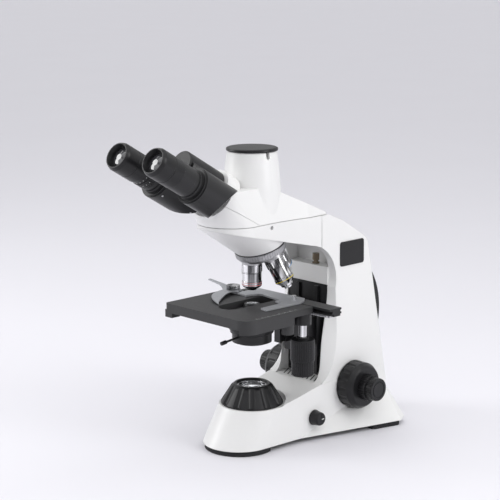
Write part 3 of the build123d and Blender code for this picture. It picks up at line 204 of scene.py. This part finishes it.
# Lamp and its collector: a turned aluminium holder under the ramp with a glass lens on top,
# and over it the black ring by which the field diaphragm is turned.
lamp_metal = Finish("lamp_metal", (0.62, 0.62, 0.63), Metallic=1.0)
lamp_metal.tinted(lamp_metal.noise(0.003), 0.06)
lamp_metal.rough(0.18 + lamp_metal.noise(0.001, 3) * 0.12)
lamp_metal.relief(lamp_metal.noise(0.0005, 3), 0.00001, edge=0.0003)
coat(lamp_metal, "lamp")

glass = Finish("glass", (0.93, 0.95, 0.97), Transmission_Weight=0.9, IOR=1.52)
glass.tinted(glass.noise(0.02), 0.02)
glass.rough(0.02 + glass.noise(0.01) * 0.02)
coat(glass, "collector_lens", "condenser_lens", "objective_lenses", "beam_splitter")

# Stop screw: knurled brass with a dark finish, over the stage on the ledge of the arm.
dark_brass = Finish("dark_brass", (0.20, 0.165, 0.12), Metallic=1.0)
dark_brass.tinted(dark_brass.noise(0.002), 0.12)
dark_brass.rough(0.30 + dark_brass.noise(0.0008, 3) * 0.15)
dark_brass.relief(dark_brass.noise(0.0005, 3), 0.00001, edge=0.0002)
coat(dark_brass, "stop_screw")

# Brightness knob: a tapered plastic knob on the side of the foot, with a white line filled into
# its face that shows how far the lamp is turned up.
white_fill = Finish("white_fill", (0.78, 0.78, 0.77), Specular_IOR_Level=0.3)
white_fill.tinted(white_fill.noise(0.002), 0.06)
white_fill.rough(0.55 + white_fill.noise(0.0008) * 0.1)


def piece_from(name, finish, corners, faces, body, smooth=False):
    """One closed piece from its corners and faces, riding on a body."""
    mesh = bpy.data.meshes.new(name)
    mesh.from_pydata([tuple(corner) for corner in corners], [], faces)
    shell = bmesh.new()
    shell.from_mesh(mesh)
    bmesh.ops.remove_doubles(shell, verts=shell.verts, dist=1e-7)
    bmesh.ops.recalc_face_normals(shell, faces=shell.faces)
    shell.to_mesh(mesh)
    shell.free()
    mesh.materials.append(finish.material)
    if smooth:
        mesh.shade_smooth()
    made = bpy.data.objects.new(name, mesh)
    bpy.context.scene.collection.objects.link(made)
    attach(made, body)


def bars(name, finish, sketches, place, depth, body):
    """Flat bars, each a four-cornered outline in the plane of a place, raised by a depth."""
    corners = []
    faces = []
    for outline in sketches:
        first = len(corners)
        for level in (-depth, depth):
            corners += [place @ Vector((x, y, level)) for x, y in outline]
        faces += [[first + k for k in (3, 2, 1, 0)], [first + k for k in (4, 5, 6, 7)]]
        for k in range(4):
            after = (k + 1) % 4
            faces.append([first + k, first + after, first + after + 4, first + k + 4])
    piece_from(name, finish, corners, faces, body)


def rectangle(left, low, right, high):
    """Outline of an upright rectangle."""
    return [(left, low), (right, low), (right, high), (left, high)]


knob_low, knob_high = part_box("brightness_knob")
knob_face = Matrix.LocRotScale(
    Vector((knob_high.x, (knob_low.y + knob_high.y) / 2, (knob_low.z + knob_high.z) / 2)),
    Matrix(((0, 0, 1), (1, 0, 0), (0, 1, 0))), None,
)
pointer_start = 0.0008
pointer_end = 0.0052
pointer_half_width = 0.0005
pointer_depth = 0.00005
pointer = rectangle(pointer_start, -pointer_half_width, pointer_end, pointer_half_width)
bars("brightness_pointer", white_fill, [pointer], knob_face, pointer_depth, "dimmer")

# Stage: a flat machined table in matt black, hard coated, with a fine grain that keeps it from
# reflecting into the objective. A scale for finding a place on the slide runs along its right.
hard_coat = Finish("stage_coat", (0.030, 0.030, 0.031), Specular_IOR_Level=0.45)
hard_coat.tinted(hard_coat.noise(0.012), 0.08)
hard_coat.rough(0.46 + hard_coat.noise(0.003) * 0.08)
hard_coat.relief(hard_coat.noise(0.0004, 3), 0.00003, edge=0.0006)
coat(hard_coat, "stage_top")

stage_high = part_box("stage_top")[1]
stage_face = Matrix.Translation(Vector((0, 0, stage_high.z)))
scale_edge = stage_high.x - 0.0018
scale_start = -0.062
mark_spacing = 0.002
mark_count = 36
marks_per_long_one = 5
long_mark = (0.0038, 0.00022)
short_mark = (0.0018, 0.00008)
paint_depth = 0.00003
scale_marks = []
for count in range(mark_count):
    length, half_width = short_mark if count % marks_per_long_one else long_mark
    along = scale_start + count * mark_spacing
    scale_marks.append(rectangle(scale_edge - length, along - half_width, scale_edge, along + half_width))
bars("stage_scale", white_fill, scale_marks, stage_face, paint_depth, "stage")

# Slide holder: bead-blasted metal plate and finger, held by a chromed knurled screw.
blasted = Finish("holder_metal", (0.46, 0.47, 0.49), Metallic=0.9)
blasted.tinted(blasted.noise(0.002, 4), 0.08)
blasted.rough(0.42 + blasted.noise(0.0006, 4) * 0.12)
blasted.relief(blasted.noise(0.0003, 4), 0.00002, edge=0.0003)
coat(blasted, "holder_plate", "clip_finger")

# Turret and objectives: brass under chrome, polished, with dark and bright streaks along the barrels
# painted into the chrome's colour as painted reflections. The ring of the turret is satin. Each objective
# has a milled grip, a black groove and a filled ring in the colour of its power, and a black ring is painted
# as shade into the gap between the turret and the stand.
chrome = Finish("chrome", (0.42, 0.42, 0.43), Metallic=1.0)
# Painted reflections: the base colour runs in bands from dark to bright, stretched along the barrels.
chrome_painted_dark_band = (0.10, 0.10, 0.105, 1)
chrome_painted_highlight = (0.86, 0.86, 0.87, 1)
chrome_painted_reflections = chrome.node("ValToRGB", {"stops": ((0.38, chrome_painted_dark_band), (0.62, chrome_painted_highlight))},
                             {"Fac": chrome.noise(0.0075, 1.0, stretch=(1, 1, 0.05))})
chrome.join(chrome_painted_reflections, chrome.shader.inputs["Base Color"])
chrome.rough(0.09 + chrome.noise(0.004, 3) * 0.06)
chrome.relief(chrome.noise(0.0012, 3), 0.000008, edge=0.00025)
coat(chrome, "y_drive_tube", "holder_screws")
coat(chrome, "objective_4x", "objective_10x", "objective_40x", "objective_100x")


def turned(name, finish, centre, axis, outline, body, steps=96):
    """A ring or cap turned round an axis from (radius, height) points; a radius of 0 closes it."""
    along = Vector(axis).normalized()
    turn = along.to_track_quat("Z", "Y").to_matrix()
    corners = []
    for step in range(steps):
        angle = 2 * math.pi * step / steps
        for radius, height in outline:
            spoke = Vector((radius * math.cos(angle), radius * math.sin(angle), height))
            corners.append(Vector(centre) + turn @ spoke)
    count = len(outline)
    faces = []
    for step in range(steps):
        after = (step + 1) % steps
        for k in range(count):
            following = (k + 1) % count
            faces.append([
                step * count + k, step * count + following, after * count + following, after * count + k,
            ])
    piece_from(name, finish, corners, faces, body, smooth=True)


satin_chrome = Finish("satin_chrome", (0.44, 0.44, 0.45), Metallic=1.0)
satin_chrome.tinted(satin_chrome.noise(0.006), 0.04)
satin_chrome.rough(0.30 + satin_chrome.noise(0.002, 3) * 0.10)
satin_chrome.relief(satin_chrome.noise(0.0008, 3), 0.00001, edge=0.0003)
coat(satin_chrome, "turret")

apex = Vector((0, 0, 0.3024))
tilt = math.radians(19.5)
turret_axis = Vector((0, math.sin(tilt), -math.cos(tilt)))
turret_front = Vector((0, -math.cos(tilt), -math.sin(tilt)))
seat_distance = 0.0614
grip_radius = 0.0130
grip_low = 0.0012
grip_high = 0.0096
rib_rise = 0.0004
rib_count = 20
rib_lean = 0.35
fill_rise = 0.00012


def objective_axis(angle):
    """Direction from the turret's apex down an objective."""
    turned_by = math.radians(angle)
    outward = turret_front * math.cos(turned_by) + Vector((1, 0, 0)) * math.sin(turned_by)
    return turret_axis * math.cos(tilt) + outward * math.sin(tilt)


def grip(name, angle):
    """Milled grip ring of an objective: ribs along its axis with gaps between them."""
    along = objective_axis(angle)
    turn = along.to_track_quat("Z", "Y").to_matrix()
    centre = apex + along * seat_distance
    steps = rib_count * 4
    inner = grip_radius - 0.001
    corners = []
    for step in range(steps):
        turned_by = 2 * math.pi * (step + rib_lean * (step % 2)) / steps
        outer = grip_radius + (rib_rise if step % 4 < 2 else -rib_rise)
        for reach, height in ((outer, grip_low), (outer, grip_high), (inner, grip_high), (inner, grip_low)):
            spoke = Vector((reach * math.cos(turned_by), reach * math.sin(turned_by), height))
            corners.append(centre + turn @ spoke)
    faces = []
    for step in range(steps):
        after = (step + 1) % steps
        for k in range(4):
            following = (k + 1) % 4
            faces.append([step * 4 + k, step * 4 + following, after * 4 + following, after * 4 + k])
    piece_from(name, chrome, corners, faces, "nosepiece")


def band(name, finish, angle, height, radius, width):
    """Filled ring round an objective, at a height above its seat."""
    along = objective_axis(angle)
    inner = radius - fill_rise
    outer = radius + fill_rise
    outline = [(inner, height), (outer, height), (outer, height + width), (inner, height + width)]
    turned(name, finish, apex + along * seat_distance, along, outline, "nosepiece")


def fill(name, colour):
    """Paint filled into an engraved ring; the black one also serves as painted shade in the turret's gap and
    the vent slots.
    """
    paint = Finish(name, colour, Specular_IOR_Level=0.5)
    paint.tinted(paint.noise(0.003), 0.06)
    paint.rough(0.35 + paint.noise(0.002) * 0.1)
    return paint


band_width = 0.0007
groove_width = 0.0004
ring_radius = 0.0129
barrel_radius = 0.0124
short_band_height = 0.0264
upper_band_height = 0.0236
long_band_height = 0.0294
red_fill = fill("red_fill", (0.52, 0.03, 0.03))
yellow_fill = fill("yellow_fill", (0.80, 0.62, 0.03))
blue_fill = fill("blue_fill", (0.08, 0.33, 0.66))
black_fill_and_shade = fill("black_fill_and_shade", (0.012, 0.012, 0.013))
# A thin black ring in the gap between the turret and the stand: painted shade where the gap lies dark.
gap_shade_radius = 0.0341
gap_shade_start = 0.0396
gap_shade_width = 0.002
gap_shade_height = 0.0013
gap_shade_outline = [
    (gap_shade_radius - gap_shade_width, gap_shade_start), (gap_shade_radius, gap_shade_start),
    (gap_shade_radius, gap_shade_start + gap_shade_height), (gap_shade_radius - gap_shade_width, gap_shade_start + gap_shade_height),
]
turned("turret_gap_shade", black_fill_and_shade, apex, turret_axis, gap_shade_outline, "nosepiece")
power_angles = {"4x": 0, "10x": 90, "40x": 180, "100x": 270}
for label, angle in power_angles.items():
    grip(f"grip_{label}", angle)
band("band_4x", red_fill, power_angles["4x"], short_band_height, ring_radius, band_width)
band("band_4x_upper", red_fill, power_angles["4x"], upper_band_height, ring_radius, groove_width)
for label, paint in (("10x", yellow_fill), ("40x", blue_fill), ("100x", white_fill)):
    band(f"band_{label}", paint, power_angles[label], long_band_height, ring_radius, band_width)
groove_heights = {"4x": [0.0114], "10x": [0.0114, 0.0262], "40x": [0.0114], "100x": [0.0114]}
for label, heights in groove_heights.items():
    for count, height in enumerate(heights):
        band(f"groove_{label}_{count}", black_fill_and_shade, power_angles[label], height, barrel_radius, groove_width)

# Condenser: a broad black rim round its body, over the iris lever. It is turned aluminium in the
# same satin enamel as the body and is pressed on.
rim_outline = [
    (0.0229, 0.1501), (0.0276, 0.1501), (0.0286, 0.1511), (0.0286, 0.1590), (0.0276, 0.1600),
    (0.0229, 0.1600),
]
turned("condenser_rim", black_enamel, (0, 0, 0), (0, 0, 1), rim_outline, "condenser")

# Prism housings: the prisms are fixed from below by two small steel screws in each housing, whose
# heads stand a little out of it.
slope = math.radians(30)
pivot_height = 0.3141
eyepiece_side = 0.033
eyepiece_drop = 0.0255


def across(right, below, ahead):
    """Point of the inclined head: metres right of, below and ahead of the head's pivot."""
    away = ahead * math.cos(slope) + below * math.sin(slope)
    up = ahead * math.sin(slope) - below * math.cos(slope)
    return Vector((right, -away, pivot_height + up))


underside = across(0, 1, 0) - across(0, 0, 0)
housing_radius = 0.0240
screw_lean = math.radians(42)
screws_ahead = (0.080, 0.133)
screw_outline = [
    (0, -0.0004), (0.0013, -0.0004), (0.0013, 0.0002), (0.0011, 0.00035), (0.0006, 0.00035),
    (0.0005, 0.0001), (0, 0.0001),
]
for side, body in ((1, "right_tube"), (-1, "left_tube")):
    outward = underside * math.cos(screw_lean) - Vector((side, 0, 0)) * math.sin(screw_lean)
    for count, ahead in enumerate(screws_ahead):
        place = across(side * eyepiece_side, eyepiece_drop, ahead) + outward * housing_radius
        turned(
            f"cover_screw_{body}_{count}", turned_steel, place, outward, screw_outline, body,
            steps=24,
        )

# Eyepieces and dioptre ring: black anodised tubes; small white dots on the ring count its turn
# from the mark on the tube.
coat(plastic, "diopter_ring", "eyepiece_right", "eyepiece_left")
eye_glass = Finish("eye_glass", (0.030, 0.030, 0.034), Specular_IOR_Level=0.9, Coat_Weight=1.0)
eye_glass.tinted(eye_glass.noise(0.01), 0.1)
eye_glass.rough(0.04 + eye_glass.noise(0.006) * 0.03)
coat(eye_glass, "eye_lens_right", "eye_lens_left")

diopter_radius = 0.0183
dot_radius = 0.00045
dot_outline = [(0, -0.0003), (dot_radius, -0.0003), (dot_radius, 0.00006), (0, 0.00006)]
dot_spacing = 17
dot_rows = ((0.1590, -72, 3), (0.1675, -80, 5))
for row, (ahead, first_angle, dots) in enumerate(dot_rows):
    for count in range(dots):
        angle = math.radians(first_angle + dot_spacing * count)
        outward = Vector((1, 0, 0)) * math.cos(angle) - underside * math.sin(angle)
        spot = across(-eyepiece_side, eyepiece_drop, ahead) + outward * diopter_radius
        turned(
            f"diopter_dot_{row}_{count}", white_fill, spot, outward, dot_outline, "diopter",
            steps=16,
        )

# Ventilation: the sloping floor of the arm's channel is slotted over the mains supply. The slots
# stand aslant to the channel and are drawn as thin black bars on its enamel: painted shade for the dark
# inside of the slots.
floor_front = Vector((0, 0.0820, 0.0722))
floor_slope = math.atan(0.0609)
channel_floor = Matrix.Translation(floor_front) @ Matrix.Rotation(floor_slope, 4, "X")
slot_half_width = 0.0009
slot_length = 0.021
slot_spacing = 0.0070
slot_count = 9
first_slot = Vector((-0.024, 0.0030))
slot_depth = 0.00006
slot_lean = Vector((-0.44, 0.90))
slot_across = Vector((slot_lean.y, -slot_lean.x)) * slot_half_width
vent_slot_shades = []
for count in range(slot_count):
    near_end = first_slot + Vector((slot_spacing * count, 0))
    far_end = near_end + slot_lean * slot_length
    vent_slot_shades.append([
        near_end - slot_across, near_end + slot_across, far_end + slot_across, far_end - slot_across,
    ])
bars("vent_slot_shades", black_fill_and_shade, vent_slot_shades, channel_floor, slot_depth, "base")

# Floor: a large sheet of pale lilac paper under the microscope, which carries its shadow and fills
# the picture behind it.
paper = Finish("paper", (0.775, 0.768, 0.805), Specular_IOR_Level=0.1)
paper.tinted(paper.noise(0.4), 0.01)
paper.rough(0.9 + paper.noise(0.05) * 0.05)
floor_reach = 15.0
floor_mesh = bpy.data.meshes.new("floor")
floor_corners = [(x, y, 0) for x, y in rectangle(-floor_reach, -floor_reach, floor_reach, floor_reach)]
floor_mesh.from_pydata(floor_corners, [], [(0, 1, 2, 3)])
floor_mesh.materials.append(paper.material)
floor = bpy.data.objects.new("floor", floor_mesh)
bpy.context.scene.collection.objects.link(floor)

# Light: a pale room with darker and brighter places, so that polished metal has something to
# mirror, one large soft box above and two at the sides.
room_strength = 1.08
patch_scale = 4.5
height_tones = ((0.0, 0.62), (0.7, 1.0))
patch_tones = ((0.40, 0.30), (0.60, 1.30))
blue_share = 1.01
room = bpy.data.worlds.new("room")
bpy.context.scene.world = room
room.use_nodes = True
sky = room.node_tree.nodes
direction = sky.new("ShaderNodeTexCoord")
height = sky.new("ShaderNodeSeparateXYZ")
rise = sky.new("ShaderNodeValToRGB")
patches = sky.new("ShaderNodeTexNoise")
patch_tone = sky.new("ShaderNodeValToRGB")
blend = sky.new("ShaderNodeVectorMath")
room.node_tree.links.new(direction.outputs["Generated"], height.inputs[0])
room.node_tree.links.new(height.outputs["Z"], rise.inputs["Fac"])
room.node_tree.links.new(direction.outputs["Generated"], patches.inputs["Vector"])
room.node_tree.links.new(patches.outputs["Fac"], patch_tone.inputs["Fac"])
room.node_tree.links.new(rise.outputs["Color"], blend.inputs[0])
room.node_tree.links.new(patch_tone.outputs["Color"], blend.inputs[1])
room.node_tree.links.new(blend.outputs["Vector"], sky["Background"].inputs["Color"])
blend.operation = "MULTIPLY"
patches.inputs["Scale"].default_value = patch_scale
patches.inputs["Detail"].default_value = 0.0
for ramp, stops in ((rise, height_tones), (patch_tone, patch_tones)):
    for element, (position, tone) in zip(ramp.color_ramp.elements, stops):
        element.position = position
        element.color = (tone, tone, tone * blue_share, 1)
sky["Background"].inputs["Strength"].default_value = room_strength


def soft_box(name, place, size, power):
    """Rectangular light of a size in metres and a power in watts, aimed at the stage."""
    light = bpy.data.lights.new(name, "AREA")
    light.shape = "RECTANGLE"
    light.size, light.size_y = size
    light.energy = power
    lamp = bpy.data.objects.new(name, light)
    bpy.context.scene.collection.objects.link(lamp)
    lamp.location = place
    lamp.rotation_mode = "QUATERNION"
    lamp.rotation_quaternion = (light_aim - Vector(place)).to_track_quat("-Z", "Y")


light_aim = Vector((0, 0, 0.2))
soft_box("top_light", (0.2, -0.3, 1.9), (1.8, 1.8), 8)
soft_box("left_light", (-1.5, -1.1, 1.0), (0.7, 1.4), 13)
soft_box("right_light", (1.5, 0.5, 0.9), (0.5, 1.4), 9)

bpy.context.scene.view_settings.view_transform = "Standard"
